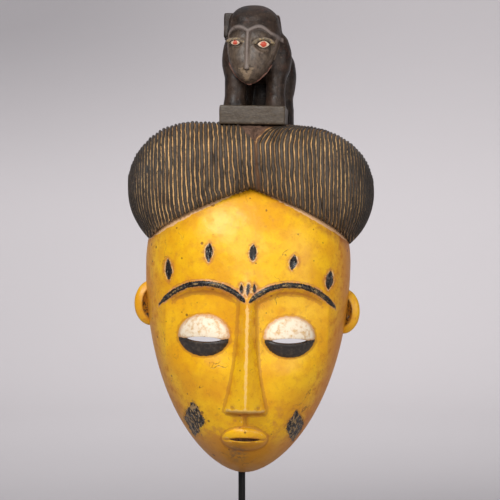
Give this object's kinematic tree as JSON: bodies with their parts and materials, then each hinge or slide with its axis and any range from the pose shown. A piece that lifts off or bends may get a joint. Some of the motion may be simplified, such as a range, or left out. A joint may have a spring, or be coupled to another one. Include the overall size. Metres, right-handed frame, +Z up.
{
  "type": "carved face mask on a stand",
  "caption": "Carved and painted wooden face mask with a ridged two-lobed coiffure and a small four-legged animal on top, resting on a steel rod stand.",
  "frame": {"origin": "centre of the underside of the stand's base, which rests on the surface", "axes": "+Z up along the rod, -Y the way the face looks, +X to the right of someone who looks at the face"},
  "size_m": [0.2225, 0.14, 0.5296],
  "materials": {
    "painted_wood": "satin, yellow ochre paint with dark stained coiffure and crest, worn",
    "black_steel": "satin black"
  },
  "bodies": {
    "root": {"mask": "painted_wood", "stand_rod": "black_steel", "stand_bar": "black_steel", "stand_base": "black_steel"}
  },
  "joints": []
}
